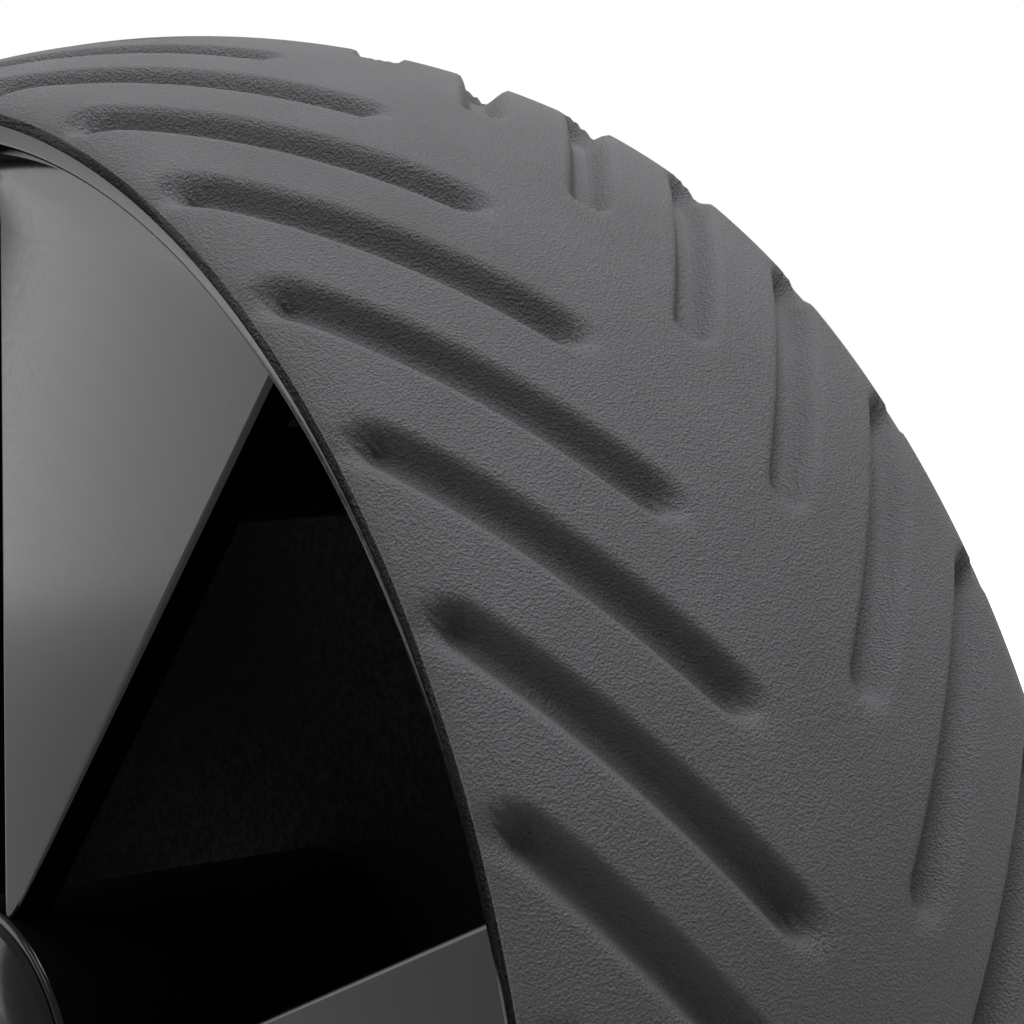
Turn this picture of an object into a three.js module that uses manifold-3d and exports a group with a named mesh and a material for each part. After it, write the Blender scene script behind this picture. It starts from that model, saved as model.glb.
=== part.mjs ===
// A dolly wheel on its stub axle: a grooved tyre on a two-piece spoked rim, which turns on two sealed
// ball bearings. Millimetres, +Z up. The axle lies along Y and points from the wheel's outer face (-Y)
// to the dolly's frame (+Y). The origin is on the axle, where its collar meets that frame.
import * as THREE from "three";
import { mergeVertices } from "three/addons/utils/BufferGeometryUtils.js";
import Module from "manifold-3d";

const wasm = await Module();
wasm.setup();

// Clearances between separate pieces
const seatGap = 0.25; // round pieces pressed or screwed into each other
const stackGap = 0.1; // flat faces clamped together along the axle
const runGap = 0.35; // pieces that move past each other

// Tyre
const tyreRadius = 125;
const crownArc = 100; // radius of the tread's arc across the wheel
const shoulderArc = 9;
const treadHalf = 32.7; // the crown arc ends this far from the wheel's centre plane
const bandHalf = 36.9; // half the wheel's width, over the rim's two outer bands
const tyreEdge = 0.4; // thickness of the tyre where it runs out against the rim's band

// Tread grooves, in two mirrored rows that form arrows
const grooveCount = 36;
const groovePhase = 8.6; // degrees, where one groove's inner end lies
const grooveInner = 6.4; // nearest that a groove comes to the centre plane
const grooveOuter = 35.6; // furthest
const grooveLean = 53.8; // degrees from the axle's direction
const grooveWidth = 5.6;
const grooveDepth = 2.4;
const grooveFloorWidth = 2.2;
const grooveRunOut = 4; // how much shorter the floor is than the mouth, at each end
const grooveTaper = 0.85; // how fast an end narrows: 1 would close it to a point

// Rim: two moulded halves that meet at the centre plane and share one section
const bandWidth = 3.6; // the rim's outer band, from the tyre in to its lip
const bandSlope = 1.3; // the lip lies this much deeper than the band's outer edge
const seatRadius = 113.2;
const seatHalf = 31; // the tyre's seat is cylindrical this far from the centre plane
const lipTaper = 2.2; // the barrel narrows this much behind the lip
const lipDepth = 5;
const barrelRoot = 1.5; // the spokes run this far into the barrel's wall
const barrelDraft = 0.9;
const ribHeight = 2; // ring in the middle of the seat that keeps the tyre in place
const ribHalf = 3;
const tongueWall = 1.6; // the rear half's tongue, which centres the front half
const tongueLength = 4;

// Spokes of the front half
const spokeCount = 5;
const spokePhase = 76; // degrees, where one spoke's middle lies
const spokeHalfAngle = 18; // degrees, at the lip
const spokeOffset = 6.9; // each edge runs past the axle at this distance
const spokeRecess = 12.1; // from the lip back to the spoke's face
const spokeRise = 0.086; // how much the face comes forward for each mm towards the hub
const spokeThickness = 5;
const windowCorner = 8;

// Web and ribs of the rear half
const webRecess = 21; // from the centre plane to the web's rear face
const webThickness = 3;
const ribThickness = 3;
const ribRise = 9; // height of a rib at the hub
const ribFall = 4; // height at the barrel

// Screws that join the halves, each in a boss behind a spoke
const screwCircle = 75; // radius
const screwRadius = 2.5;
const screwLength = 20;
const screwHeadRadius = 4.8;
const screwHeadHeight = 3.2;
const screwHeadRound = 1.44; // height over which the head's edge is rounded
const screwCrown = 3.6; // radius of the head's flat top
const screwTip = 1; // radius
const driveRadius = 2; // corner radius of the hexagonal drive
const bossWall = 3;

// Bearings, 15 x 35 x 11
const bearingBore = 15;
const bearingOuter = 35;
const bearingWidth = 11;
const raceWall = 2.8;
const ballDiameter = 5.95;
const ballCount = 8;
const cageWall = 1.6;
const cageMargin = 0.6; // cage left beside each ball's pocket
const sealThickness = 1;
const frontBearing = -20.5; // middle of the bearing from the wheel's centre plane
const rearBearing = 28.5;

// Hub
const hubWall = 3.8;
const hubFront = 32; // from the centre plane to the hub's ends
const hubRear = 36;
const hubShoulder = 3; // ring inside the hub that the outer race rests on
const hubShoulderRise = 2.2;
const capDome = 3.5;
const capWall = 2;
const capMargin = 1; // the cap's flange is this much smaller than the hub
const capCrown = [0.55, 0.85]; // shares of the flange's radius and the dome's height
const capEdge = 0.4; // share of the dome's height at the flange's rounded edge

// Axle
const collarToCentre = 48; // from the frame to the wheel's centre plane
const collarRadius = 14;
const collarLength = 6;
const stepRadius = 9.6;
const axleEnd = 2.4; // axle beyond the circlip's groove
const endChamfer = 1.2;
const washerThickness = 1.5;
const circlipThickness = 1;
const circlipDepth = 0.6;
const circlipWidth = 3;
const circlipGap = 50; // degrees
const spacerWall = 2.4;
const spigotRadius = 6; // M12
const bracketThickness = 6; // room for the frame's plate
const mountWasherRadius = 12;
const mountWasherThickness = 2.5;
const nutFlats = 19;
const nutHeight = 10.4;
const spigotBeyondNut = 3;

// How finely round pieces are divided
const wheelSegments = 60;
const hubSegments = 24;
const smallSegments = 20;

const rad = THREE.MathUtils.degToRad;
const fullTurn = 2 * Math.PI;

// Sizes that follow from the ones above
const crownHalfAngle = Math.asin(treadHalf / crownArc);
const shoulderMiddle = {
  u: (crownArc - shoulderArc) * Math.sin(crownHalfAngle),
  r: tyreRadius - crownArc + (crownArc - shoulderArc) * Math.cos(crownHalfAngle),
};
const bandRadius = treadRadius(bandHalf) - tyreEdge - seatGap;
const lipRadius = bandRadius - bandWidth;
const lipHalf = bandHalf - bandSlope;
const barrelFront = lipRadius - lipTaper; // inside of the barrel, behind the lip
const barrelMiddle = barrelFront - barrelDraft; // inside of the barrel, at the centre plane
const pitchRadius = (bearingBore + bearingOuter) / 4;
const racewayArc = ballDiameter / 2 + runGap / 2;
const hubBore = bearingOuter / 2 + seatGap;
const hubRadius = hubBore + hubWall;
const hubStop = hubBore - hubShoulderRise;
const hubRoot = hubBore + 1; // spokes, web and ribs start inside the hub's wall
const journalRadius = bearingBore / 2 - seatGap;

const tyreRubber = new THREE.MeshStandardMaterial({ color: 0x4b4b4d, roughness: 0.75, metalness: 0 });
const glossBlack = new THREE.MeshStandardMaterial({ color: 0x0b0b0c, roughness: 0.12, metalness: 0 });
const zincSteel = new THREE.MeshStandardMaterial({ color: 0xb4b6b8, roughness: 0.35, metalness: 1 });
const bearingSteel = new THREE.MeshStandardMaterial({ color: 0xc8cacc, roughness: 0.15, metalness: 1 });
const sealRubber = new THREE.MeshStandardMaterial({ color: 0x171718, roughness: 0.7, metalness: 0 });
const cageNylon = new THREE.MeshStandardMaterial({ color: 0xc9c4b4, roughness: 0.55, metalness: 0 });

// Outer radius of the tyre at a distance from the centre plane.
function treadRadius(u) {
  const across = Math.abs(u);
  if (across <= treadHalf) return tyreRadius - crownArc + Math.sqrt(crownArc ** 2 - across ** 2);
  return shoulderMiddle.r + Math.sqrt(shoulderArc ** 2 - (across - shoulderMiddle.u) ** 2);
}

// Outer face of the front bearing, as a distance in front of the centre plane.
function frontBearingFace() {
  return -frontBearing + bearingWidth / 2;
}

// A solid of manifold-3d from a closed three.js geometry.
function solid(geometry) {
  const bare = geometry.clone();
  bare.deleteAttribute("normal");
  bare.deleteAttribute("uv");
  const merged = mergeVertices(bare, 1e-4);
  const vertProperties = new Float32Array(merged.attributes.position.array);
  const triVerts = new Uint32Array(merged.index.array);
  return new wasm.Manifold(new wasm.Mesh({ numProp: 3, vertProperties, triVerts }));
}

// The three.js geometry of a manifold-3d solid.
function geometryOf(made) {
  const { vertProperties, triVerts } = made.getMesh();
  const geometry = new THREE.BufferGeometry();
  geometry.setAttribute("position", new THREE.BufferAttribute(vertProperties, 3));
  geometry.setIndex(new THREE.BufferAttribute(triVerts, 1));
  geometry.computeVertexNormals();
  return geometry;
}

// A ring or disc turned about Y from its section, a closed outline of [radius, y] corners.
function turned(section, segments) {
  const area = section.reduce((sum, [r, y], i) => {
    const [nextR, nextY] = section[(i + 1) % section.length];
    return sum + r * nextY - nextR * y;
  }, 0);
  const corners = section.map(([r, y]) => new THREE.Vector2(r, y));
  if (area < 0) corners.reverse();
  const onAxis = corners.findIndex((p, i) => p.x === 0 && corners.at(i - 1).x === 0);
  if (onAxis >= 0) corners.push(...corners.splice(0, onAxis));
  else corners.push(corners[0].clone());
  return new THREE.LatheGeometry(corners, segments);
}

// Turns a geometry about the axle so that what points along +X points to an angle in the XZ plane.
function aimed(geometry, degrees) {
  return geometry.rotateY(-rad(degrees));
}

// Adds a named mesh to a group.
function place(group, name, shape, material) {
  const geometry = shape.isBufferGeometry ? shape : geometryOf(shape);
  const mesh = new THREE.Mesh(geometry, material);
  mesh.name = name;
  group.add(mesh);
  return mesh;
}

// The rim's outer surface from its band to the ring in its middle, raised by a clearance.
function seatLine(raised) {
  return [
    [bandRadius + raised, bandHalf],
    [seatRadius + raised, seatHalf],
    [seatRadius + raised, ribHalf + raised],
    [seatRadius + ribHeight + raised, ribHalf + raised],
  ];
}

// One tread groove's cutter: a box whose ends are narrowed, bent onto the tread. side is -1 for the
// front row and 1 for the rear row.
function grooveCutter(angle, side) {
  const along = new THREE.Vector2(Math.sin(rad(grooveLean)), Math.cos(rad(grooveLean)));
  const half = grooveWidth / 2;
  const straight = (grooveOuter - grooveInner - grooveWidth) / along.y / 2; // to each round end's middle
  const middle = (grooveInner + grooveOuter) / 2;
  const stations = [-straight - half, -straight - half / 2, -straight / 3];
  stations.push(...stations.map((x) => -x).reverse());
  const steps = stations.length - 1;
  const above = 1.5; // the cutter stands this far out of the tread
  const floorLength = 1 - grooveRunOut / (straight + half);
  const cutter = new THREE.BoxGeometry(1, 1, 1, steps, 1, 1);
  const spots = cutter.attributes.position;
  for (let i = 0; i < spots.count; i++) {
    const floor = spots.getZ(i) < 0;
    const station = stations[Math.round((spots.getX(i) + 0.5) * steps)];
    const past = Math.max(Math.abs(station) - straight, 0) / half;
    const width = (floor ? grooveFloorWidth : grooveWidth) * Math.sqrt(1 - grooveTaper * past ** 2);
    const x = station * (floor ? floorLength : 1);
    const y = spots.getY(i) * width * side; // side keeps the faces outward in both rows
    const arc = (x + straight) * along.x + y * along.y;
    const u = middle + x * along.y - y * along.x;
    const r = treadRadius(u) + (floor ? -grooveDepth : above);
    const turn = rad(angle) + arc / tyreRadius;
    spots.setXYZ(i, r * Math.cos(turn), side * u, r * Math.sin(turn));
  }
  return solid(cutter);
}

function makeTyre() {
  const across = [0, 0.55, 1].map((share) => share * treadHalf);
  across.push(bandHalf);
  const half = across.map((u) => [treadRadius(u), u]);
  const inside = seatLine(seatGap);
  const front = half.slice(1).reverse().map(([r, u]) => [r, -u]);
  const section = [...inside.map(([r, u]) => [r, -u]).reverse(), ...front, ...half, ...inside];
  let tyre = solid(turned(section, wheelSegments));
  const pitch = 360 / grooveCount;
  for (const side of [-1, 1]) {
    for (let i = 0; i < grooveCount; i++) {
      tyre = tyre.subtract(grooveCutter(groovePhase + i * pitch, side));
    }
  }
  return tyre;
}

// A window between two spokes, as a cutter along Y. Its corners at the rim are rounded.
function windowCutter(angle) {
  const lean = rad(spokeHalfAngle) + Math.asin(spokeOffset / lipRadius);
  const halfPitch = Math.PI / spokeCount;
  const sideAngle = halfPitch - lean; // between the window's middle line and each side
  const apex = -spokeOffset / Math.sin(sideAngle); // the two sides would meet beyond the axle
  const start = hubRadius / 2; // well inside the hub's wall, which is added after the windows
  const rounding = windowCorner / barrelFront;
  const corner = sideAt(barrelFront - windowCorner, sideAngle, apex);
  const cornerTurn = Math.asin(sideAt(barrelFront, sideAngle, apex).y / barrelFront) - rounding;
  const near = sideAt(start, sideAngle, apex);
  const shape = new THREE.Shape();
  shape.moveTo(near.x, -near.y);
  shape.lineTo(corner.x, -corner.y);
  const edge = sideAt(barrelFront, sideAngle, apex);
  const end = new THREE.Vector2(Math.cos(cornerTurn), Math.sin(cornerTurn)).multiplyScalar(barrelFront);
  shape.quadraticCurveTo(edge.x, -edge.y, end.x, -end.y);
  shape.absarc(0, 0, barrelFront, -cornerTurn, cornerTurn);
  shape.quadraticCurveTo(edge.x, edge.y, corner.x, corner.y);
  shape.lineTo(near.x, near.y);
  shape.closePath();
  const depth = hubFront + lipHalf;
  const cutter = new THREE.ExtrudeGeometry(shape, { depth, bevelEnabled: false, curveSegments: 4 });
  cutter.rotateX(Math.PI / 2); // the extrusion now runs to -Y, and the outline's +Y to +Z
  return solid(aimed(cutter, angle));
}

// Where a window's side crosses a radius. The side starts at the apex and leans away from the middle line.
function sideAt(radius, sideAngle, apex) {
  const direction = new THREE.Vector2(Math.cos(sideAngle), Math.sin(sideAngle));
  const reach = -apex * direction.x + Math.sqrt(radius ** 2 - (apex * direction.y) ** 2);
  return new THREE.Vector2(apex, 0).addScaledVector(direction, reach);
}

// A round post along Y at a radius and an angle from the axle.
function post(radius, from, to, circle, angle, segments = 16) {
  const cylinder = new THREE.CylinderGeometry(radius, radius, to - from, segments);
  cylinder.translate(circle, (from + to) / 2, 0);
  return solid(aimed(cylinder, angle));
}

function makeRimFront() {
  const half = seatLine(0).map(([r, u]) => [r, -u]);
  const split = -stackGap / 2;
  const barrel = [
    [lipRadius, -lipHalf],
    ...half,
    [seatRadius + ribHeight, split],
    [barrelMiddle, split],
    [barrelFront, -lipHalf + lipDepth],
  ];
  const spokeRoot = -lipHalf + spokeRecess;
  const faceAt = (r) => spokeRoot - (lipRadius - r) * spokeRise;
  const outer = barrelFront + barrelRoot;
  const disc = [
    [hubRoot, faceAt(hubRoot)],
    [outer, faceAt(outer)],
    [outer, faceAt(outer) + spokeThickness],
    [hubRoot, faceAt(hubRoot) + spokeThickness],
  ];
  const seat = frontBearing + bearingWidth / 2 + stackGap;
  const hub = [
    [hubBore, -hubFront],
    [hubRadius, -hubFront],
    [hubRadius, split],
    [hubBore, split],
    [hubBore, seat + hubShoulder],
    [hubStop, seat + hubShoulder],
    [hubStop, seat],
    [hubBore, seat],
  ];
  let spokes = solid(turned(disc, wheelSegments));
  for (let i = 0; i < spokeCount; i++) {
    const angle = spokePhase + ((i + 0.5) * 360) / spokeCount;
    spokes = spokes.subtract(windowCutter(angle));
  }
  const bossFrom = faceAt(screwCircle) + spokeThickness / 2;
  const bossTo = webRecess - webThickness - stackGap;
  for (let i = 0; i < spokeCount; i++) {
    const angle = spokePhase + (i * 360) / spokeCount;
    spokes = spokes.add(post(screwRadius + bossWall, bossFrom, bossTo, screwCircle, angle));
    const hole = post(screwRadius + seatGap, bossTo - screwLength, bossTo + 1, screwCircle, angle);
    spokes = spokes.subtract(hole);
  }
  const core = solid(turned(hub, hubSegments));
  return solid(turned(barrel, wheelSegments)).add(spokes).add(core);
}

function makeRimRear() {
  const half = seatLine(0);
  const split = stackGap / 2;
  const tongue = barrelMiddle - seatGap - barrelDraft / 2;
  const barrel = [
    [lipRadius, lipHalf],
    ...half,
    [seatRadius + ribHeight, split],
    [barrelMiddle, split],
    [tongue, -seatGap],
    [tongue, -tongueLength],
    [tongue - tongueWall, -tongueLength],
    [tongue - tongueWall, tongueLength],
    [barrelFront, lipHalf - lipDepth],
  ];
  const webFront = webRecess - webThickness;
  const web = [
    [hubRoot, webFront],
    [barrelFront, webFront],
    [barrelFront, webRecess],
    [hubRoot, webRecess],
  ];
  const seat = rearBearing - bearingWidth / 2 - stackGap;
  const hub = [
    [hubBore, hubRear],
    [hubRadius, hubRear],
    [hubRadius, split],
    [hubBore, split],
    [hubBore, seat - hubShoulder],
    [hubStop, seat - hubShoulder],
    [hubStop, seat],
    [hubBore, seat],
  ];
  let rim = solid(turned(barrel, wheelSegments)).add(solid(turned(web, wheelSegments)));
  const rib = new THREE.Shape();
  const foot = webRecess - webThickness / 2;
  rib.moveTo(hubRoot, foot);
  rib.lineTo(barrelFront, foot);
  rib.lineTo(barrelFront, webRecess + ribFall);
  rib.lineTo(hubRoot, webRecess + ribRise);
  rib.closePath();
  for (let i = 0; i < spokeCount; i++) {
    const angle = spokePhase + ((i + 0.5) * 360) / spokeCount;
    const plate = new THREE.ExtrudeGeometry(rib, { depth: ribThickness, bevelEnabled: false });
    plate.translate(0, 0, -ribThickness / 2);
    rim = rim.add(solid(aimed(plate, angle)));
    const screwAngle = spokePhase + (i * 360) / spokeCount;
    const hole = post(screwRadius + seatGap, webFront - 1, webRecess + 1, screwCircle, screwAngle);
    rim = rim.subtract(hole);
  }
  return rim.add(solid(turned(hub, hubSegments)));
}

function makeHubCap() {
  const skirt = hubBore - seatGap;
  const foot = -frontBearingFace() - stackGap;
  const flange = hubRadius - capMargin;
  const seat = -hubFront - stackGap;
  const section = [
    [0, seat - capDome],
    [flange * capCrown[0], seat - capDome * capCrown[1]],
    [flange - capMargin, seat - capDome * capEdge],
    [flange, seat],
    [skirt, seat],
    [skirt, foot],
    [skirt - capWall, foot],
    [skirt - capWall, seat],
    [0, seat],
  ];
  return turned(section, hubSegments);
}

// A pan-head screw from the rear, with a blind hexagonal drive.
function makeScrew(angle) {
  const under = webRecess + stackGap;
  const top = under + screwHeadHeight;
  const tip = under - screwLength;
  const section = [
    [0, tip],
    [screwTip, tip],
    [screwRadius, tip + screwRadius],
    [screwRadius, under],
    [screwHeadRadius, under],
    [screwHeadRadius, top - screwHeadRound],
    [screwCrown, top],
    [0, top],
  ];
  const drive = new THREE.CylinderGeometry(driveRadius, driveRadius, screwHeadHeight, 6);
  drive.translate(0, top, 0);
  const screw = geometryOf(solid(turned(section, 16)).subtract(solid(drive)));
  screw.translate(screwCircle, 0, 0);
  return aimed(screw, angle);
}

// Points along a raceway's arc, from one side of the bearing's middle to the other.
function raceway(side, shoulder) {
  const rise = Math.abs(shoulder - pitchRadius);
  const spread = Math.acos(rise / racewayArc);
  return [-1, -0.4, 0.4, 1].map((share) => {
    const turn = share * spread;
    return [pitchRadius + side * racewayArc * Math.cos(turn), racewayArc * Math.sin(turn)];
  });
}

// A ball bearing, in the groups of pieces that turn together.
function makeBearing(name, middle, groups) {
  const halfWidth = bearingWidth / 2;
  const outer = bearingOuter / 2;
  const bore = bearingBore / 2;
  const outerShoulder = outer - raceWall;
  const innerShoulder = bore + raceWall;
  const outerRace = [
    [outer, halfWidth],
    [outerShoulder, halfWidth],
    ...raceway(1, outerShoulder).reverse(),
    [outerShoulder, -halfWidth],
    [outer, -halfWidth],
  ];
  const innerRace = [
    [bore, halfWidth],
    [innerShoulder, halfWidth],
    ...raceway(-1, innerShoulder).reverse(),
    [innerShoulder, -halfWidth],
    [bore, -halfWidth],
  ];
  const placeHere = (group, word, shape, material) => {
    place(group, `${name}_${word}`, shape, material).position.y = middle;
  };
  placeHere(groups.wheel, "outer_race", turned(outerRace, hubSegments), bearingSteel);
  placeHere(groups.axle, "inner_race", turned(innerRace, hubSegments), bearingSteel);

  const sealOut = halfWidth - stackGap;
  for (const [side, word] of [[-1, "outer"], [1, "inner"]]) {
    const facing = middle < 0 ? side : -side;
    const section = [
      [innerShoulder + runGap, facing * sealOut],
      [outerShoulder - seatGap, facing * sealOut],
      [outerShoulder - seatGap, facing * (sealOut - sealThickness)],
      [innerShoulder + runGap, facing * (sealOut - sealThickness)],
    ];
    placeHere(groups.wheel, `seal_${word}`, turned(section, smallSegments), sealRubber);
  }

  const pocket = ballDiameter / 2 + runGap / 2;
  const cageHalf = pocket + cageMargin;
  const cageSection = [
    [pitchRadius - cageWall / 2, -cageHalf],
    [pitchRadius + cageWall / 2, -cageHalf],
    [pitchRadius + cageWall / 2, cageHalf],
    [pitchRadius - cageWall / 2, cageHalf],
  ];
  let cage = solid(turned(cageSection, smallSegments));
  for (let i = 0; i < ballCount; i++) {
    const angle = (i * 360) / ballCount;
    const hole = new THREE.CylinderGeometry(pocket, pocket, cageWall * 4, 12);
    hole.rotateZ(Math.PI / 2).translate(pitchRadius, 0, 0);
    cage = cage.subtract(solid(aimed(hole, angle)));
    const ball = new THREE.SphereGeometry(ballDiameter / 2, 8, 6).translate(pitchRadius, 0, 0);
    placeHere(groups[name], `ball_${i + 1}`, aimed(ball, angle), bearingSteel);
  }
  placeHere(groups[name], "cage", cage, cageNylon);
}

// Where the pieces stacked along the axle begin and end, from the frame outwards.
function axleStack() {
  const centre = -collarToCentre;
  const rearFace = centre + rearBearing + bearingWidth / 2 + stackGap; // step against the rear bearing
  const spacerRear = centre + rearBearing - bearingWidth / 2 - stackGap;
  const spacerFront = centre + frontBearing + bearingWidth / 2 + stackGap;
  const washerRear = centre + frontBearing - bearingWidth / 2 - stackGap;
  const washerFront = washerRear - washerThickness;
  const grooveRear = washerFront - stackGap / 2;
  const grooveFront = grooveRear - circlipThickness - stackGap;
  const end = grooveFront - axleEnd;
  const washerFace = bracketThickness;
  const nutFace = washerFace + mountWasherThickness + stackGap;
  const spigotEnd = nutFace + nutHeight + spigotBeyondNut;
  return {
    rearFace, spacerRear, spacerFront, washerRear, washerFront, grooveRear, grooveFront, end,
    washerFace, nutFace, spigotEnd,
  };
}

function makeAxle(stack) {
  const groove = journalRadius - circlipDepth;
  const section = [
    [0, stack.end],
    [journalRadius - endChamfer, stack.end],
    [journalRadius, stack.end + endChamfer],
    [journalRadius, stack.grooveFront],
    [groove, stack.grooveFront],
    [groove, stack.grooveRear],
    [journalRadius, stack.grooveRear],
    [journalRadius, stack.rearFace],
    [stepRadius, stack.rearFace],
    [stepRadius, -collarLength],
    [collarRadius, -collarLength],
    [collarRadius, 0],
    [spigotRadius, 0],
    [spigotRadius, stack.spigotEnd - endChamfer],
    [spigotRadius - endChamfer, stack.spigotEnd],
    [0, stack.spigotEnd],
  ];
  return turned(section, hubSegments);
}

// A flat ring round the axle.
function washer(inner, outer, from, to) {
  const section = [[inner, from], [outer, from], [outer, to], [inner, to]];
  return turned(section, smallSegments);
}

// The open ring that sits in the axle's groove.
function makeCirclip(stack) {
  const inner = journalRadius - circlipDepth + stackGap;
  const outer = inner + circlipWidth;
  const from = rad(circlipGap / 2);
  const ring = new THREE.Shape();
  ring.absarc(0, 0, outer, from, fullTurn - from, false);
  ring.absarc(0, 0, inner, fullTurn - from, from, true);
  ring.closePath();
  const clip = new THREE.ExtrudeGeometry(ring, {
    depth: circlipThickness,
    bevelEnabled: false,
    curveSegments: smallSegments,
  });
  clip.rotateX(Math.PI / 2); // the extrusion now runs from 0 to -Y
  return clip.translate(0, stack.grooveRear - stackGap / 2, 0);
}

function makeNut(stack) {
  const corner = nutFlats / Math.sqrt(3);
  const corners = Array.from({ length: 6 }, (_, i) => (i * fullTurn) / 6);
  const outline = new THREE.Shape(
    corners.map((turn) => new THREE.Vector2(corner * Math.cos(turn), corner * Math.sin(turn))),
  );
  const thread = new THREE.Path().absarc(0, 0, spigotRadius + seatGap, 0, fullTurn, true);
  outline.holes.push(thread);
  const nut = new THREE.ExtrudeGeometry(outline, {
    depth: nutHeight,
    bevelEnabled: false,
    curveSegments: smallSegments,
  });
  nut.rotateX(-Math.PI / 2); // the extrusion now runs from 0 to +Y
  return nut.translate(0, stack.nutFace, 0);
}

const root = new THREE.Group();
const axleGroup = new THREE.Group();
const wheelGroup = new THREE.Group(); // its origin is on the wheel's centre plane
wheelGroup.position.y = -collarToCentre;
const raceGroup = new THREE.Group(); // pieces of the bearings that stay with the axle
raceGroup.position.y = -collarToCentre;
root.add(axleGroup, wheelGroup, raceGroup);

const stack = axleStack();
place(axleGroup, "axle", makeAxle(stack), zincSteel);
const spacerInner = journalRadius + seatGap;
const spacer = washer(spacerInner, spacerInner + spacerWall, stack.spacerFront, stack.spacerRear);
place(axleGroup, "bearing_spacer", spacer, zincSteel);
const keeper = washer(spacerInner, stepRadius, stack.washerFront, stack.washerRear);
place(axleGroup, "axle_washer", keeper, zincSteel);
place(axleGroup, "axle_circlip", makeCirclip(stack), zincSteel);
const mountWasherTop = stack.washerFace + mountWasherThickness;
const mountWasher = washer(spigotRadius + seatGap, mountWasherRadius, stack.washerFace, mountWasherTop);
place(axleGroup, "mount_washer", mountWasher, zincSteel);
place(axleGroup, "mount_nut", makeNut(stack), zincSteel);

place(wheelGroup, "tyre", makeTyre(), tyreRubber);
place(wheelGroup, "rim_front", makeRimFront(), glossBlack);
place(wheelGroup, "rim_rear", makeRimRear(), glossBlack);
place(wheelGroup, "hub_cap", makeHubCap(), glossBlack);
for (let i = 0; i < spokeCount; i++) {
  const screw = makeScrew(spokePhase + (i * 360) / spokeCount);
  place(wheelGroup, `rim_screw_${i + 1}`, screw, zincSteel);
}

const bearingGroups = { wheel: wheelGroup, axle: raceGroup, front: raceGroup, rear: raceGroup };
makeBearing("front", frontBearing, bearingGroups);
makeBearing("rear", rearBearing, bearingGroups);

export default root;
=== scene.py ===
import math

import bmesh
import bpy
from mathutils import Matrix, Vector


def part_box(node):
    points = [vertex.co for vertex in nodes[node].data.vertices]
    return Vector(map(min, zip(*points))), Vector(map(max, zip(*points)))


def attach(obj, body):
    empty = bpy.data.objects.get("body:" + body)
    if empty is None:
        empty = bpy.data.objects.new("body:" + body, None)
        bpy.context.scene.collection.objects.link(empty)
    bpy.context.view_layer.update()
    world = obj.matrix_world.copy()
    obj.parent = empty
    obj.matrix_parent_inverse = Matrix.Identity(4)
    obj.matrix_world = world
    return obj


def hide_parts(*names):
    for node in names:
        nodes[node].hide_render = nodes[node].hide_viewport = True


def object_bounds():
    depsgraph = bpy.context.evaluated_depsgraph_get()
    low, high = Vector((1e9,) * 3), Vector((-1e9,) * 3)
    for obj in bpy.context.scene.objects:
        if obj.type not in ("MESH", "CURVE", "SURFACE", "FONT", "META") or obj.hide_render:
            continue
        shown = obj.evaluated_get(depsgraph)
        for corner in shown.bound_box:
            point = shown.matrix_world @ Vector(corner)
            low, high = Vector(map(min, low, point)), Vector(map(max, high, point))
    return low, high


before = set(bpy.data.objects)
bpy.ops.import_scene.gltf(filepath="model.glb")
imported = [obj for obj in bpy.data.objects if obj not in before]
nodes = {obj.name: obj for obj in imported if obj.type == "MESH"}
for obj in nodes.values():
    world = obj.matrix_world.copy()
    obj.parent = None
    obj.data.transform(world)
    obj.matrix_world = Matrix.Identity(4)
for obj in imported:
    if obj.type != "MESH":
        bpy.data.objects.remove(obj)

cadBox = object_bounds()
mm = 0.001
scene = bpy.context.scene

tyreLow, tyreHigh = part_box("tyre")
wheelCentre = (tyreLow + tyreHigh) / 2
wheelRadius = (tyreHigh.z - tyreLow.z) / 2
bandHalf = (tyreHigh.y - tyreLow.y) / 2  # half the wheel's width
spokeAngles = [math.radians(76 + 72 * i) for i in range(5)]


# small tools

def linear(hexColour):
    parts = [int(hexColour[i:i + 2], 16) / 255 for i in (1, 3, 5)]
    return [c / 12.92 if c <= 0.04045 else ((c + 0.055) / 1.055) ** 2.4 for c in parts] + [1]


def smooth(share):
    share = min(max(share, 0), 1)
    return share * share * (3 - 2 * share)


def rounded(corners, radii, steps=3):
    # cuts each corner of a closed outline back to an arc-like curve
    outline = []
    count = len(corners)
    for i, here in enumerate(corners):
        here, before, after = Vector(here), Vector(corners[i - 1]), Vector(corners[(i + 1) % count])
        if not radii[i]:
            outline.append(here)
            continue
        start = here + (before - here).normalized() * radii[i]
        end = here + (after - here).normalized() * radii[i]
        for step in range(steps + 1):
            t = step / steps
            outline.append(start * (1 - t) ** 2 + here * 2 * t * (1 - t) + end * t ** 2)
    return outline


def spun(outline, steps):
    # turns a closed outline of [radius, y] points, in mm, once round the axle
    bm = bmesh.new()
    ring = [bm.verts.new((r * mm, y * mm, 0)) for r, y in outline]
    edges = [bm.edges.new((a, b)) for a, b in zip(ring, ring[1:] + ring[:1])]
    bmesh.ops.spin(bm, geom=ring + edges, cent=(0, 0, 0), axis=(0, 1, 0), dvec=(0, 0, 0),
                   angle=2 * math.pi, steps=steps, use_merge=True, use_duplicate=False)
    bmesh.ops.remove_doubles(bm, verts=bm.verts[:], dist=1e-7)
    bmesh.ops.recalc_face_normals(bm, faces=bm.faces[:])
    return bm


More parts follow.
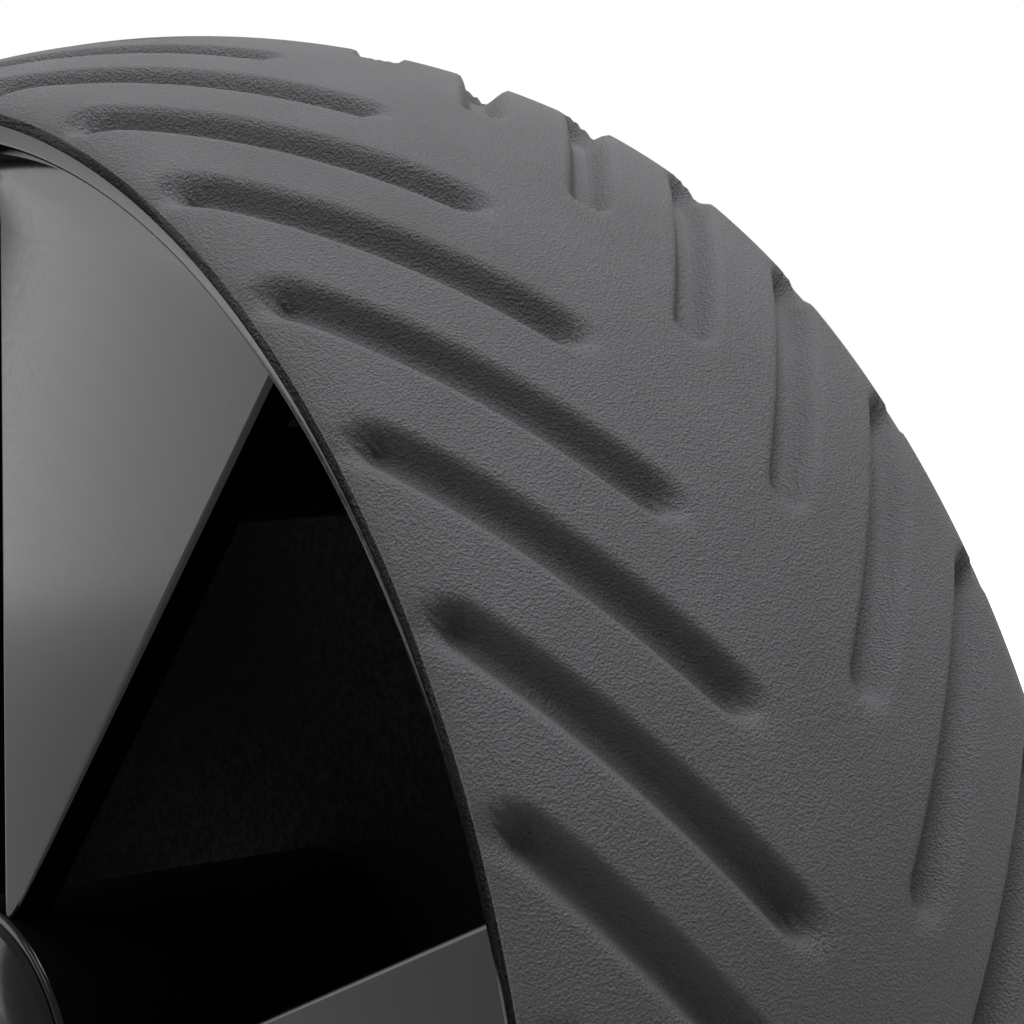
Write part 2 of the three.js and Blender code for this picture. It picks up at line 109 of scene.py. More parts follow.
def plate(outline, thickness, edge=0.0, segments=3):
    # a flat plate in the XZ plane from y = 0 to y = thickness, in mm, with its front edges rounded
    bm = bmesh.new()
    corners = [bm.verts.new((x * mm, 0, z * mm)) for x, z in outline]
    face = bm.faces.new(corners)
    made = bmesh.ops.extrude_face_region(bm, geom=[face])
    moved = [g for g in made["geom"] if isinstance(g, bmesh.types.BMVert)]
    bmesh.ops.translate(bm, vec=(0, thickness * mm, 0), verts=moved)
    bmesh.ops.recalc_face_normals(bm, faces=bm.faces[:])
    if edge:
        front = [e for e in bm.edges if all(abs(v.co.y) < 1e-9 for v in e.verts)]
        bmesh.ops.bevel(bm, geom=front, offset=edge * mm, offset_type="OFFSET", segments=segments,
                        profile=0.5, affect="EDGES", clamp_overlap=True, material=-1)
    return bm


def turnTo(bm, angle):
    # what points along +X then points to an angle in the XZ plane
    bmesh.ops.rotate(bm, verts=bm.verts[:], cent=(0, 0, 0), matrix=Matrix.Rotation(-angle, 3, "Y"))


def joinInto(bm, other):
    keep = bpy.data.meshes.new("part")
    other.to_mesh(keep)
    other.free()
    bm.from_mesh(keep)
    bpy.data.meshes.remove(keep)


def piece(name, bm, materials, body, replaced, shift=0.0, sharp=35):
    # a finished piece: its mesh is moved into place, and the object stays at the origin
    bmesh.ops.translate(bm, vec=(0, shift, 0), verts=bm.verts[:])
    mesh = bpy.data.meshes.new(name)
    bm.to_mesh(mesh)
    bm.free()
    for material in materials:
        mesh.materials.append(material)
    made = bpy.data.objects.new(name, mesh)
    scene.collection.objects.link(made)
    mesh.shade_smooth()
    mesh.set_sharp_from_angle(angle=math.radians(sharp))
    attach(made, body)
    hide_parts(*replaced)
    return made


# materials

def addNode(tree, kind, inputs=None, **settings):
    made = tree.nodes.new(kind)
    for name, value in settings.items():
        setattr(made, name, value)
    for name, value in (inputs or {}).items():
        if isinstance(value, bpy.types.NodeSocket):
            tree.links.new(value, made.inputs[name])
        else:
            made.inputs[name].default_value = value
    return made


def newMaterial(name, **surface):
    made = bpy.data.materials.new(name)
    made.use_nodes = True
    shader = made.node_tree.nodes["Principled BSDF"]
    for socket, value in surface.items():
        shader.inputs[socket.replace("_", " ")].default_value = value
    return made, made.node_tree, shader


def grainScale(size):
    return 1 / (size * mm)  # noise features are about one unit apart


def mouldedTyreRubber():
    # moulded EVA-filled rubber: matt charcoal, with a pebble grain from the mould that glints at its tips
    look = {"dark": "#434345", "light": "#565659", "grain": 0.13, "pebble": 0.3, "blotch": 14.0}
    made, tree, shader = newMaterial("mouldedTyreRubber", Roughness=0.62, Specular_IOR_Level=0.3)
    place = addNode(tree, "ShaderNodeTexCoord").outputs["Object"]
    blotch = addNode(tree, "ShaderNodeTexNoise", {"Vector": place, "Scale": grainScale(look["blotch"]),
                                                  "Detail": 3.0})
    fine = addNode(tree, "ShaderNodeTexNoise", {"Vector": place, "Scale": grainScale(look["grain"]),
                                                "Detail": 2.0, "Roughness": 0.6})
    pebble = addNode(tree, "ShaderNodeTexVoronoi", {"Vector": place, "Scale": grainScale(look["pebble"])},
                     feature="SMOOTH_F1")
    pebble.inputs["Smoothness"].default_value = 0.6
    tint = addNode(tree, "ShaderNodeMix", {"Factor": blotch.outputs["Fac"]}, data_type="RGBA")
    tint.inputs["A"].default_value = linear(look["dark"])
    tint.inputs["B"].default_value = linear(look["light"])
    height = addNode(tree, "ShaderNodeMath", {0: fine.outputs["Fac"], 1: 1.0, 2: pebble.outputs["Distance"]},
                     operation="MULTIPLY_ADD")
    bump = addNode(tree, "ShaderNodeBump", {"Height": height.outputs[0], "Distance": 0.24 * mm,
                                            "Strength": 1.0})
    rough = addNode(tree, "ShaderNodeMapRange", {"Value": fine.outputs["Fac"], "From Min": 0.3,
                                                 "From Max": 0.7, "To Min": 0.72, "To Max": 0.5})
    tree.links.new(tint.outputs["Result"], shader.inputs["Base Color"])
    tree.links.new(bump.outputs["Normal"], shader.inputs["Normal"])
    tree.links.new(rough.outputs["Result"], shader.inputs["Roughness"])
    return made


def glossAbs(name, colour, gloss, roughness, ripple):
    # injection-moulded ABS: a polished mould gives deep gloss, with a faint ripple where the melt cooled
    made, tree, shader = newMaterial(name, Base_Color=linear(colour), Specular_IOR_Level=gloss)
    place = addNode(tree, "ShaderNodeTexCoord").outputs["Object"]
    wave = addNode(tree, "ShaderNodeTexNoise", {"Vector": place, "Scale": grainScale(22.0), "Detail": 1.0})
    dust = addNode(tree, "ShaderNodeTexNoise", {"Vector": place, "Scale": grainScale(0.8), "Detail": 2.0})
    bump = addNode(tree, "ShaderNodeBump", {"Height": wave.outputs["Fac"], "Distance": ripple * mm,
                                            "Strength": 0.6})
    rough = addNode(tree, "ShaderNodeMapRange", {"Value": dust.outputs["Fac"], "From Min": 0.35,
                                                 "From Max": 0.75, "To Min": roughness,
                                                 "To Max": roughness * 1.5})
    tree.links.new(bump.outputs["Normal"], shader.inputs["Normal"])
    tree.links.new(rough.outputs["Result"], shader.inputs["Roughness"])
    return made


def zincSteel():
    # bright zinc plating on turned steel: a pale metal with a soft spangle
    made, tree, shader = newMaterial("zincPlatedSteel", Metallic=1.0)
    place = addNode(tree, "ShaderNodeTexCoord").outputs["Object"]
    spangle = addNode(tree, "ShaderNodeTexVoronoi", {"Vector": place, "Scale": grainScale(1.6)})
    turned = addNode(tree, "ShaderNodeTexNoise", {"Vector": place, "Scale": grainScale(0.5), "Detail": 3.0})
    tint = addNode(tree, "ShaderNodeMix", {"Factor": spangle.outputs["Distance"]}, data_type="RGBA")
    tint.inputs["A"].default_value = linear("#c6c8c9")
    tint.inputs["B"].default_value = linear("#a9adb0")
    rough = addNode(tree, "ShaderNodeMapRange", {"Value": turned.outputs["Fac"], "To Min": 0.22,
                                                 "To Max": 0.42})
    bump = addNode(tree, "ShaderNodeBump", {"Height": turned.outputs["Fac"], "Distance": 0.01 * mm,
                                            "Strength": 0.5})
    tree.links.new(tint.outputs["Result"], shader.inputs["Base Color"])
    tree.links.new(rough.outputs["Result"], shader.inputs["Roughness"])
    tree.links.new(bump.outputs["Normal"], shader.inputs["Normal"])
    return made


def groundSteel():
    # ground and polished bearing steel: bright, with fine rings left by the grinding wheel
    made, tree, shader = newMaterial("groundBearingSteel", Metallic=1.0, Base_Color=linear("#cdcfd1"))
    place = addNode(tree, "ShaderNodeTexCoord").outputs["Object"]
    grind = addNode(tree, "ShaderNodeTexNoise", {"Vector": place, "Scale": grainScale(0.3), "Detail": 2.0})
    rough = addNode(tree, "ShaderNodeMapRange", {"Value": grind.outputs["Fac"], "To Min": 0.08,
                                                 "To Max": 0.22})
    tree.links.new(rough.outputs["Result"], shader.inputs["Roughness"])
    return made


def softPlastic(name, dark, light, grain, roughness):
    # seals and cages: moulded nitrile rubber or nylon, satin, with a fine even texture
    made, tree, shader = newMaterial(name, Roughness=roughness)
    place = addNode(tree, "ShaderNodeTexCoord").outputs["Object"]
    fine = addNode(tree, "ShaderNodeTexNoise", {"Vector": place, "Scale": grainScale(grain), "Detail": 2.0})
    tint = addNode(tree, "ShaderNodeMix", {"Factor": fine.outputs["Fac"]}, data_type="RGBA")
    tint.inputs["A"].default_value = linear(dark)
    tint.inputs["B"].default_value = linear(light)
    bump = addNode(tree, "ShaderNodeBump", {"Height": fine.outputs["Fac"], "Distance": 0.03 * mm,
                                            "Strength": 0.7})
    tree.links.new(tint.outputs["Result"], shader.inputs["Base Color"])
    tree.links.new(bump.outputs["Normal"], shader.inputs["Normal"])
    return made


tyreRubber = mouldedTyreRubber()
glossBlack = glossAbs("glossBlackAbs", "#0a0a0b", 0.12, 0.11, 0.03)
# painted shade: a near-black, almost unreflecting finish laid on the rim's inside faces, where shade falls
paintedShadeBlack = glossAbs("paintedShadeBlackAbs", "#030303", 0.03, 0.6, 0.02)
zinc = zincSteel()
bearingSteel = groundSteel()
nitrile = softPlastic("nitrileSeal", "#121213", "#1d1d1f", 0.4, 0.5)
nylon = softPlastic("nylonCage", "#cfc7b0", "#ddd6c2", 0.6, 0.45)
print("materials made")


# camera and studio

view = {"place": (2.6476, -1.6375, 0.8642), "yaw": -0.9190, "pitch": -0.1066, "focus": 3135.0,
        "frameWidth": 1024.0, "sensor": 36.0}
cameraData = bpy.data.cameras.new("camera")
camera = bpy.data.objects.new("camera", cameraData)
scene.collection.objects.link(camera)
camera.location = wheelCentre + Vector(view["place"]) * wheelRadius  # in wheel radii from the centre
forward = Vector((math.sin(view["yaw"]) * math.cos(view["pitch"]),
                  math.cos(view["yaw"]) * math.cos(view["pitch"]), math.sin(view["pitch"])))
camera.rotation_euler = forward.to_track_quat("-Z", "Y").to_euler()
cameraData.sensor_width = view["sensor"]
cameraData.lens = view["focus"] / view["frameWidth"] * view["sensor"]
cameraData.clip_start = 0.01
cameraData.clip_end = 50
scene.camera = camera

scene.view_settings.view_transform = "Standard"

lights = {
    "top": {"from": (0.1, 0.1, 1.4), "size": (0.9, 0.7), "power": 30.0},
    "front": {"from": (-0.25, -1.3, 1.0), "size": (0.8, 0.5), "power": 8.0},
    "side": {"from": (-1.28, -0.95, 0.22), "size": (0.75, 1.0), "power": 10.0},
}
for name, lamp in lights.items():
    data = bpy.data.lights.new(name, "AREA")
    data.shape = "RECTANGLE"
    data.size, data.size_y = lamp["size"]
    data.energy = lamp["power"]
    made = bpy.data.objects.new(name, data)
    made.location = wheelCentre + Vector(lamp["from"])
    made.rotation_euler = (-Vector(lamp["from"])).to_track_quat("-Z", "Y").to_euler()
    scene.collection.objects.link(made)

ambient = 0.06
world = bpy.data.worlds.new("studio")
world.use_nodes = True
scene.world = world
sky = world.node_tree
rays = addNode(sky, "ShaderNodeLightPath")
seen = addNode(sky, "ShaderNodeMath", {0: rays.outputs["Is Camera Ray"], 1: rays.outputs["Is Glossy Ray"]},
               operation="MAXIMUM")
seen = addNode(sky, "ShaderNodeMath", {0: seen.outputs[0], 1: rays.outputs["Is Transmission Ray"]},
               operation="MAXIMUM")
strength = addNode(sky, "ShaderNodeMapRange", {"Value": seen.outputs[0], "To Min": ambient, "To Max": 1.0})
sky.nodes["Background"].inputs["Color"].default_value = (1, 1, 1, 1)
sky.links.new(strength.outputs["Result"], sky.nodes["Background"].inputs["Strength"])

floorMaterial, tree, shader = newMaterial("paperFloor", Roughness=0.9)
rays = addNode(tree, "ShaderNodeLightPath")
seen = addNode(tree, "ShaderNodeMath", {0: rays.outputs["Is Camera Ray"], 1: rays.outputs["Is Glossy Ray"]},
               operation="MAXIMUM")
seen = addNode(tree, "ShaderNodeMath", {0: seen.outputs[0], 1: rays.outputs["Is Transmission Ray"]},
               operation="MAXIMUM")
paper = addNode(tree, "ShaderNodeMix", {"Factor": rays.outputs["Is Diffuse Ray"]}, data_type="RGBA")
paper.inputs["A"].default_value = linear("#f2f2f2")
paper.inputs["B"].default_value = linear("#5a5a5a")  # so that little light comes back up
tree.links.new(paper.outputs["Result"], shader.inputs["Base Color"])
share = addNode(tree, "ShaderNodeMath", {0: seen.outputs[0], 1: 0.86}, operation="MULTIPLY")
glow = addNode(tree, "ShaderNodeEmission", {"Color": (1, 1, 1, 1), "Strength": share.outputs[0]})
mixed = addNode(tree, "ShaderNodeAddShader", {0: shader.outputs[0], 1: glow.outputs[0]})
tree.links.new(mixed.outputs[0], tree.nodes["Material Output"].inputs["Surface"])
bm = bmesh.new()
bmesh.ops.create_grid(bm, x_segments=1, y_segments=1, size=6)
bmesh.ops.translate(bm, vec=(0, 0, cadBox[0][2] - 0.5 * mm), verts=bm.verts[:])
floorMesh = bpy.data.meshes.new("floor")
bm.to_mesh(floorMesh)
bm.free()
floorMesh.materials.append(floorMaterial)
floor = bpy.data.objects.new("floor", floorMesh)
scene.collection.objects.link(floor)
print("camera and studio made")


# tyre

tyre = {
    "crownArc": 100.0, "shoulderArc": 9.0, "treadHalf": 32.7, "edge": 0.25, "fit": 0.14,
    "seatRadius": 113.2, "seatHalf": 31.0, "ribHeight": 2.0, "ribHalf": 3.0,
    "grooves": 36, "phase": 8.6, "start": 9.2, "inner": 5.5, "outer": 36.9, "lean": 53.8, "width": 6.4,
    "floor": 1.0, "depth": 2.9, "fade": 1.5, "columns": 24, "rows": 72,
}


def tread(u):
    # radius and slope angle of the tyre's outer surface at a distance from the centre plane, in mm
    radius = wheelRadius / mm
    half = math.asin(tyre["treadHalf"] / tyre["crownArc"])
    if abs(u) <= tyre["treadHalf"]:
        lean = math.asin(abs(u) / tyre["crownArc"])
        return radius - tyre["crownArc"] * (1 - math.cos(lean)), lean
    arm = tyre["crownArc"] - tyre["shoulderArc"]
    lean = math.asin((abs(u) - arm * math.sin(half)) / tyre["shoulderArc"])
    return radius - tyre["crownArc"] + arm * math.cos(half) + tyre["shoulderArc"] * math.cos(lean), lean


def grooveDepth(u, turn):
    # depth at a place on the tread; turn is the angle from the nearest groove's middle line
    lean = math.radians(tyre["lean"])
    half = tyre["width"] / 2
    middle = (tyre["inner"] + tyre["outer"]) / 2
    straight = (tyre["outer"] - tyre["inner"] - tyre["width"]) / math.cos(lean) / 2
    arc = turn * wheelRadius / mm  # away from the groove's middle line, along the tread
    along = (abs(u) - middle) / math.cos(lean) + arc * math.sin(lean)
    across = arc * math.cos(lean)
    away = math.hypot(max(abs(along) - straight, 0), across)
    share = (half - away) / (half - tyre["floor"] / 2)
    fade = smooth((tyre["outer"] - abs(u)) / tyre["fade"])
    return tyre["depth"] * smooth(share) * fade


def makeTyre():
    half = bandHalf / mm
    edgeRadius = tread(half)[0]
    outer = [(tread(half * (2 * i / tyre["rows"] - 1))[0], half * (2 * i / tyre["rows"] - 1))
             for i in range(tyre["rows"] + 1)]
    fit = tyre["fit"]
    inner = [(edgeRadius - tyre["edge"], half), (tyre["seatRadius"] + fit, tyre["seatHalf"]),
             (tyre["seatRadius"] + fit, tyre["ribHalf"] + fit),
             (tyre["seatRadius"] + tyre["ribHeight"] + fit, tyre["ribHalf"] + fit)]
    inner += [(r, -u) for r, u in reversed(inner)]
    bm = spun(outer + inner, tyre["grooves"] * tyre["columns"])
    slope = math.tan(math.radians(tyre["lean"])) / (wheelRadius / mm)  # turn of a groove per mm across
    pitch = 2 * math.pi / tyre["grooves"]
    phase = math.radians(tyre["phase"])
    inside = edgeRadius - tyre["edge"] / 2
    for v in bm.verts:
        r, u = math.hypot(v.co.x, v.co.z) / mm, v.co.y / mm
        if r < inside:
            continue
        lean = tread(u)[1]
        angle = math.atan2(v.co.z, v.co.x) + slope * (abs(u) - tyre["start"])  # columns run with the grooves
        away = (angle - phase - slope * (abs(u) - tyre["start"])) % pitch
        away = away - pitch if away > pitch / 2 else away
        depth = grooveDepth(u, away)
        r -= depth * math.cos(lean)
        u -= depth * math.sin(lean) * (1 if u > 0 else -1)
        v.co = (r * math.cos(angle) * mm, u * mm, r * math.sin(angle) * mm)
    return bm


piece("tyreTread", makeTyre(), [tyreRubber], "wheel", ["tyre"], wheelCentre.y, sharp=75)
print("tyre made")


# rim, front half

rim = {
    "bandWidth": 3.6, "bandSlope": 1.3, "lipTaper": 2.2, "lipDepth": 5.0, "draft": 0.9, "steps": 288,
    "recess": 12.1, "rise": 0.086, "spokeThickness": 5.0, "spokeEdge": 2.2, "corner": 8.0,
    "spokeHalf": 18.0, "spokeOffset": 6.9, "bossCircle": 75.0, "bossRadius": 5.5, "screwHole": 2.75,
    "bossEnd": 17.9,
    "hubBore": 17.75, "hubRadius": 21.55, "hubFront": 32.0, "hubRear": 36.0,
    "webFront": 18.0, "webRear": 21.0, "ribThickness": 3.0, "ribHub": 9.0, "ribRim": 4.0,
}
bandRadius = tread(bandHalf / mm)[0] - tyre["edge"] - tyre["fit"]
lipRadius = bandRadius - rim["bandWidth"]
lipHalf = bandHalf / mm - rim["bandSlope"]
barrelFront = lipRadius - rim["lipTaper"]
barrelMiddle = barrelFront - rim["draft"]


def rimRing(facing, split):
    # band, lip and barrel of one half; facing is -1 for the front half and 1 for the rear half
    half = bandHalf / mm
    corners = [
        (lipRadius, lipHalf), (bandRadius, half), (tyre["seatRadius"], tyre["seatHalf"]),
        (tyre["seatRadius"], tyre["ribHalf"]), (tyre["seatRadius"] + tyre["ribHeight"], tyre["ribHalf"]),
        (tyre["seatRadius"] + tyre["ribHeight"], split), (barrelMiddle, split),
        (barrelFront, lipHalf - rim["lipDepth"]),
    ]
    radii = [0.5, 0.35, 1.0, 0.3, 0.3, 0.2, 0.2, 3.0]
    outline = rounded([(r, facing * u) for r, u in corners], radii, 4)
    return spun(outline, rim["steps"])


def paintShade(bm, test):
    # paints shade: gives the second material, a near-black painted shade, to the faces whose middle, as
    # radius and y in mm, passes a test
    for face in bm.faces:
        middle = face.calc_center_median() / mm
        if test(math.hypot(middle.x, middle.z), middle.y):
            face.material_index = 1


def spokeFace(r):
    return -lipHalf + rim["recess"] - (lipRadius - r) * rim["rise"]


def spokeOutline():
    # one spoke seen from the front, its middle line along +X
    lean = math.radians(rim["spokeHalf"]) + math.asin(rim["spokeOffset"] / lipRadius)
    apex = rim["spokeOffset"] / math.sin(lean)

    def side(radius):
        reach = -apex * math.cos(lean) + math.sqrt(radius ** 2 - (apex * math.sin(lean)) ** 2)
        return Vector((apex + reach * math.cos(lean), reach * math.sin(lean)))

    foot = side(rim["hubRadius"] - 1)
    start = side(barrelFront - rim["corner"])
    corner = side(barrelFront)
    turn = math.atan2(corner.y, corner.x) + rim["corner"] / barrelFront
    end = Vector((math.cos(turn), math.sin(turn))) * barrelFront
    upper = [foot]
    for step in range(9):
        t = step / 8
        upper.append(start * (1 - t) ** 2 + corner * 2 * t * (1 - t) + end * t ** 2)
    outer = barrelFront + 1.6
    arc = [Vector((math.cos(turn * (1 - i / 6)), math.sin(turn * (1 - i / 6)))) * outer
           for i in range(7)]
    half = upper + arc
    return half + [Vector((p.x, -p.y)) for p in reversed(half[:-1])]


def makeRimFront():
    bm = rimRing(-1, 0.05)
    # painted shade on the barrel's inside, from about 2 mm behind the lip
    paintShade(bm, lambda r, y: r < barrelFront + 0.8 and y > 2.0 - lipHalf)
    for angle in spokeAngles:
        spoke = plate(spokeOutline(), rim["spokeThickness"], rim["spokeEdge"], 5)
        for v in spoke.verts:
            v.co.y += spokeFace(v.co.x / mm) * mm  # the face comes forward towards the hub
        turnTo(spoke, angle)
        joinInto(bm, spoke)
        bossStart = spokeFace(rim["bossCircle"]) + rim["spokeThickness"] / 2
        outer, hole = rim["bossRadius"], rim["screwHole"]
        boss = spun([(hole, bossStart), (outer, bossStart), (outer, rim["bossEnd"] - 0.4),
                     (outer - 0.4, rim["bossEnd"]), (hole, rim["bossEnd"])], 32)
        bmesh.ops.translate(boss, vec=(rim["bossCircle"] * mm, 0, 0), verts=boss.verts[:])
        turnTo(boss, angle)
        # painted shade over the whole boss, which sits in the recess behind the spoke
        paintShade(boss, lambda r, y: True)
        joinInto(bm, boss)
    hub = [(rim["hubBore"], -rim["hubFront"]), (rim["hubRadius"], -rim["hubFront"]),
           (rim["hubRadius"], -0.05), (rim["hubBore"] - 2.2, -0.05), (rim["hubBore"] - 2.2, -14.9),
           (rim["hubBore"], -14.9)]
    tube = spun(rounded(hub, [0.5, 0.8, 0.2, 0.2, 0.2, 0.2]), 96)
    # painted shade on the hub tube behind its front end, seen through the windows
    paintShade(tube, lambda r, y: y > -rim["hubFront"] + 2.0)
    joinInto(bm, tube)
    return bm


piece("rimFrontHalf", makeRimFront(), [glossBlack, paintedShadeBlack], "wheel", ["rim_front"], wheelCentre.y)
print("rim front made")


# rim, rear half

def makeRimRear():
    shadeReach = barrelFront + 0.8
    bm = rimRing(1, 0.05)
    tongue = [(108.4, -0.3), (108.4, -4), (106.8, -4), (106.8, 4), (109.5, 6), (109.5, 0.5)]
    joinInto(bm, spun(tongue, rim["steps"]))
    web = [(rim["hubBore"] + 1, rim["webFront"]), (barrelFront, rim["webFront"]),
           (barrelFront, rim["webRear"] + 2.5), (barrelMiddle - 2, rim["webRear"] + 0.4),
           (barrelMiddle - 5, rim["webRear"]), (82, rim["webRear"]), (81, rim["webRear"] + 1.2),
           (69, rim["webRear"] + 1.2), (68, rim["webRear"]), (rim["hubRadius"] + 5, rim["webRear"]),
           (rim["hubRadius"] + 1.6, rim["webRear"] + 0.8), (rim["hubBore"] + 1, rim["webRear"] + 4)]
    joinInto(bm, spun(web, rim["steps"]))
    hub = [(rim["hubBore"], rim["hubRear"]), (rim["hubRadius"], rim["hubRear"]), (rim["hubRadius"], 0.05),
           (rim["hubBore"] - 2.2, 0.05), (rim["hubBore"] - 2.2, 22.9), (rim["hubBore"], 22.9)]
    joinInto(bm, spun(rounded(hub, [0.6, 0.8, 0.2, 0.2, 0.2, 0.2]), 96))
    foot = rim["webRear"] - 1
    profile = [(rim["hubBore"] + 1, foot), (barrelFront, foot), (barrelFront, rim["webRear"] + rim["ribRim"]),
               (rim["hubRadius"] + 8, rim["webRear"] + rim["ribHub"] - 1.2),
               (rim["hubRadius"], rim["webRear"] + rim["ribHub"])]
    for angle in spokeAngles:
        rib = bmesh.new()
        corners = [rib.verts.new((x * mm, y * mm, -rim["ribThickness"] / 2 * mm)) for x, y in profile]
        face = rib.faces.new(corners)
        made = bmesh.ops.extrude_face_region(rib, geom=[face])
        moved = [g for g in made["geom"] if isinstance(g, bmesh.types.BMVert)]
        bmesh.ops.translate(rib, vec=(0, 0, rim["ribThickness"] * mm), verts=moved)
        bmesh.ops.recalc_face_normals(rib, faces=rib.faces[:])
        bmesh.ops.bevel(rib, geom=rib.edges[:], offset=0.6 * mm, offset_type="OFFSET", segments=3,
                        profile=0.5, affect="EDGES", clamp_overlap=True, material=-1)
        turnTo(rib, angle + math.pi / 5)
        joinInto(bm, rib)
    # painted shade on the rear half's faces inside the barrel and in front of the web's face
    paintShade(bm, lambda r, y: r < shadeReach and y < rim["webFront"] + 0.5)
    return bm


piece("rimRearHalf", makeRimRear(), [glossBlack, paintedShadeBlack], "wheel", ["rim_rear"], wheelCentre.y)
print("rim rear made")


# hub cap and screws

def makeHubCap():
    foot, seat, dome = -26.1, -32.1, -35.6
    outline = [(0, dome), (7.5, dome + 0.1), (8.3, dome + 0.55), (9.6, dome + 0.55), (10.4, dome + 0.15),
               (14.5, dome + 0.7), (18, dome + 1.6), (20, dome + 2.6), (20.5, seat), (17.5, seat),
               (17.5, foot + 0.4), (17.1, foot), (15.5, foot), (15.5, seat + 0.2), (0, seat + 0.2)]
    return spun(outline, 96)


def makeScrew(angle):
    # pan head with a hexagonal socket, over a shank with a coarse thread
    under, height, head, shank = rim["webRear"] + 0.1, 3.2, 4.8, 2.5
    top = under + height
    outline = [(0, under - 20), (0.9, under - 20), (shank, under - 17.5)]
    pitch = 1.2
    for i in range(12):
        base = under - 17.2 + i * pitch
        outline += [(shank - 0.45, base + pitch * 0.3), (shank, base + pitch * 0.5)]
    outline += [(shank - 0.2, under - 2), (shank - 0.2, under), (head, under), (head, under + 1.1),
                (head - 0.25, under + 1.9), (head - 0.9, top - 0.5), (head - 1.9, top - 0.08),
                (head - 2.6, top), (2.2, top), (2.0, top - 0.15), (2.0, top - 1.8), (0, top - 1.8)]
    bm = spun(outline, 36)
    for v in bm.verts:
        r = math.hypot(v.co.x, v.co.z)
        if v.co.y > (top - 2) * mm and 1.5 * mm < r < 2.3 * mm:
            turn = math.atan2(v.co.z, v.co.x) % (math.pi / 3) - math.pi / 6
            share = math.cos(math.pi / 6) / math.cos(turn)  # pulls the socket's circle to a hexagon
            v.co.x *= share
            v.co.z *= share
    bmesh.ops.translate(bm, vec=(rim["bossCircle"] * mm, 0, 0), verts=bm.verts[:])
    turnTo(bm, angle)
    return bm


piece("hubCapDome", makeHubCap(), [glossBlack], "wheel", ["hub_cap"], wheelCentre.y, sharp=30)
for i, angle in enumerate(spokeAngles):
    name = f"rim_screw_{i + 1}"
    piece(f"rimScrew{i + 1}", makeScrew(angle), [zinc], "wheel", [name], wheelCentre.y)
print("hub cap and screws made")


# axle, washers and nut

shaft = {"journal": 7.25, "step": 9.6, "collar": 14.0, "collarLength": 6.0, "spigot": 6.0, "pitch": 1.75,
         "washer": 12.0, "flats": 19.0}


def makeAxle():
    low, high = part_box("axle")
    end, tip = low.y / mm, high.y / mm
    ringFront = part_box("axle_circlip")[0].y / mm - 0.05
    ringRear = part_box("axle_circlip")[1].y / mm + 0.05
    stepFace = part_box("rear_inner_race")[1].y / mm + 0.1
    journal, spigot, collar = shaft["journal"], shaft["spigot"], shaft["collar"]
    outline = [(0, end), (journal - 1.2, end), (journal, end + 1.2), (journal, ringFront),
               (journal - 0.6, ringFront), (journal - 0.6, ringRear), (journal, ringRear),
               (journal, stepFace - 0.6), (journal + 0.3, stepFace), (shaft["step"] - 0.4, stepFace),
               (shaft["step"], stepFace + 0.4), (shaft["step"], -shaft["collarLength"]),
               (collar - 0.7, -shaft["collarLength"]), (collar, -shaft["collarLength"] + 0.7),
               (collar, -0.5), (collar - 0.5, 0), (spigot + 0.2, 0), (spigot - 0.5, 0.8)]
    y = 0.9
    while y < tip - 2.2:  # thread, as closed ridges one pitch apart
        outline += [(spigot - 1.0, y), (spigot - 1.0, y + 0.2), (spigot - 0.05, y + 0.8),
                    (spigot - 0.05, y + 1.0)]
        y += shaft["pitch"]
    outline += [(spigot - 1.0, tip - 1.0), (spigot - 1.6, tip), (0, tip)]
    return spun(outline, 96)


def makeWasher(node):
    low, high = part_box(node)
    outer = (high.x - low.x) / 2 / mm
    inner = shaft["spigot"] + 0.25 if node == "mount_washer" else shaft["journal"] + 0.25
    corners = [(inner, low.y / mm), (outer, low.y / mm), (outer, high.y / mm), (inner, high.y / mm)]
    return spun(rounded(corners, [0.15, 0.35, 0.5, 0.15]), 96)


def makeNut():
    # a ring turned to a round blank, then its side pulled in to six flats, which leaves the rounded corners
    low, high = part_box("mount_nut")
    flat = shaft["flats"] / 2
    corner = flat / math.cos(math.pi / 6)
    bore = shaft["spigot"] + 0.2
    lowY, highY = low.y / mm, high.y / mm
    outline = [(bore, lowY + 0.6), (bore + 0.6, lowY), (flat - 0.3, lowY), (corner, lowY + 0.9)]
    outline += [(corner, lowY + 0.9 + i * (highY - lowY - 1.8) / 6) for i in range(1, 7)]
    outline += [(flat - 0.3, highY), (bore + 0.6, highY), (bore, highY - 0.6)]
    bm = spun(outline, 144)
    for v in bm.verts:
        r = math.hypot(v.co.x, v.co.z)
        turn = (math.atan2(v.co.z, v.co.x) + math.pi / 6) % (math.pi / 3) - math.pi / 6
        limit = flat * mm / math.cos(math.pi / 6 - abs(turn))
        if r > limit:
            v.co.x *= limit / r
            v.co.z *= limit / r
    return bm


piece("stubAxle", makeAxle(), [zinc], "axle", ["axle"], sharp=25)
piece("mountWasher", makeWasher("mount_washer"), [zinc], "axle", ["mount_washer"])
piece("axleWasher", makeWasher("axle_washer"), [zinc], "axle", ["axle_washer"])
piece("mountNut", makeNut(), [zinc], "axle", ["mount_nut"], sharp=25)
print("axle made")


# bearings

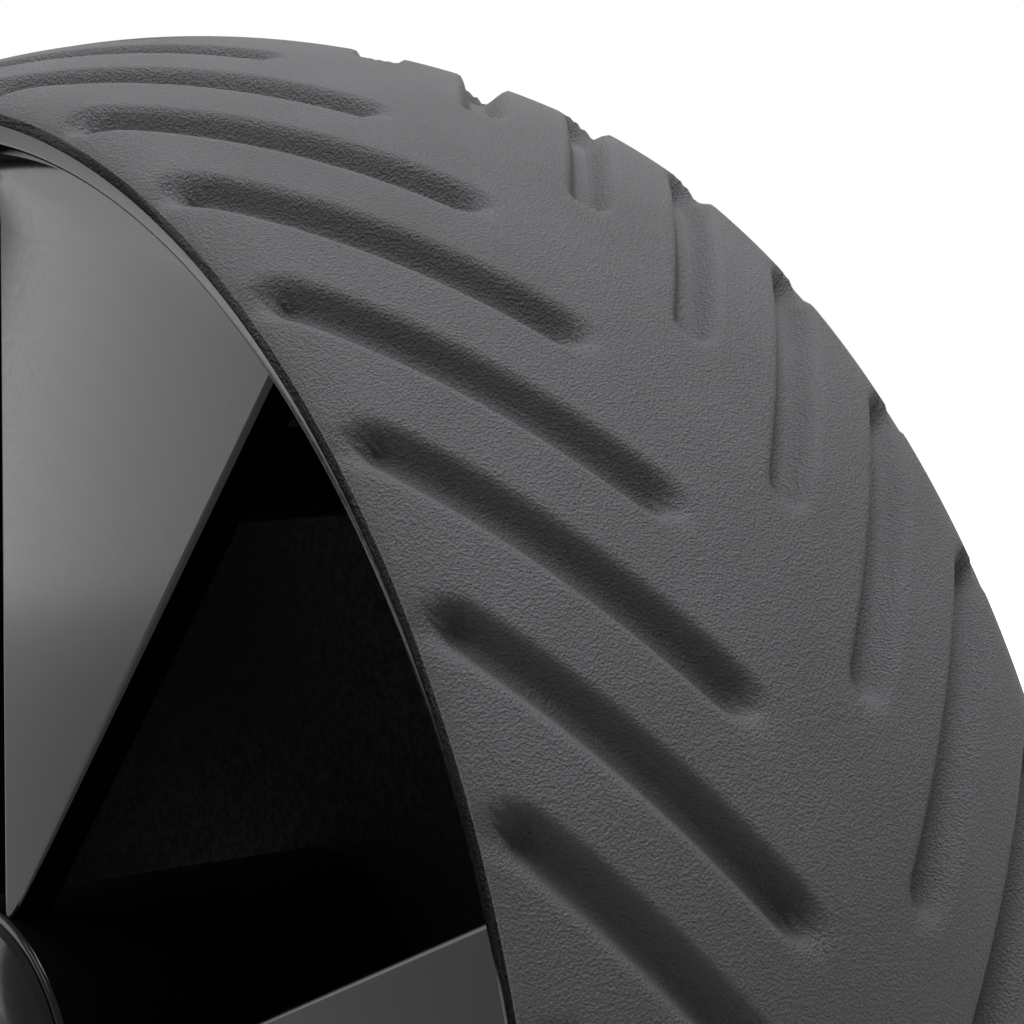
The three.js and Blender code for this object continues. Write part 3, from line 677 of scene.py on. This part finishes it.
def makeRace(outer):
    if outer:
        corners = [(17.5, 5.5), (14.7, 5.5), (14.7, 2.3), (14.7, -2.3), (14.7, -5.5), (17.5, -5.5)]
    else:
        corners = [(7.5, 5.5), (10.3, 5.5), (10.3, 2.3), (10.3, -2.3), (10.3, -5.5), (7.5, -5.5)]
    outline = rounded(corners, [0.6, 0.2, 0, 0, 0.2, 0.6])
    at = next(i for i, p in enumerate(outline) if abs(p.y - 2.3) < 1e-6)
    spread = math.asin(2.3 / 3.15)
    side = 1 if outer else -1
    groove = [Vector((12.5 + side * 3.15 * math.cos(spread * (1 - i / 4)),
                      3.15 * math.sin(spread * (1 - i / 4)))) for i in range(1, 8)]
    return spun(outline[:at + 1] + groove + outline[at + 1:], 96)


def makeSeal():
    corners = [(10.65, 0.5), (11.4, 0.5), (11.9, 0.2), (13.4, 0.2), (13.8, 0.5), (14.45, 0.5),
               (14.45, -0.5), (10.65, -0.5)]
    return spun(rounded(corners, [0.15, 0.15, 0.15, 0.15, 0.15, 0.2, 0.1, 0.1]), 96)


for place in ("front", "rear"):
    low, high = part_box(f"{place}_outer_race")
    middle = (low.y + high.y) / 2
    for kind, body in (("outer", "wheel"), ("inner", "axle")):
        node = f"{place}_{kind}_race"
        piece(f"{place}{kind.title()}Race", makeRace(kind == "outer"), [bearingSteel], body, [node],
              middle)
    for kind in ("outer", "inner"):
        node = f"{place}_seal_{kind}"
        sealLow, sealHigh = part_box(node)
        sealMiddle = (sealLow.y + sealHigh.y) / 2
        seal = makeSeal()
        if sealMiddle < middle:
            bmesh.ops.rotate(seal, verts=seal.verts[:], cent=(0, 0, 0),
                             matrix=Matrix.Rotation(math.pi, 3, "X"))
        piece(f"{place}{kind.title()}Seal", seal, [nitrile], "wheel", [node], sealMiddle)
    for i in range(8):
        node = f"{place}_ball_{i + 1}"
        ballLow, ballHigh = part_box(node)
        ball = bmesh.new()
        bmesh.ops.create_icosphere(ball, subdivisions=3, radius=5.95 / 2 * mm)
        bmesh.ops.translate(ball, vec=(ballLow + ballHigh) / 2, verts=ball.verts[:])
        piece(f"{place}Ball{i + 1}", ball, [bearingSteel], f"{place}_cage", [node], sharp=180)

for name, material in (("bearing_spacer", zinc), ("axle_circlip", zinc), ("front_cage", nylon),
                       ("rear_cage", nylon)):
    node = nodes[name]
    if not node.material_slots:
        node.data.materials.append(material)
    for held in node.material_slots:
        held.material = material
print("bearings made")
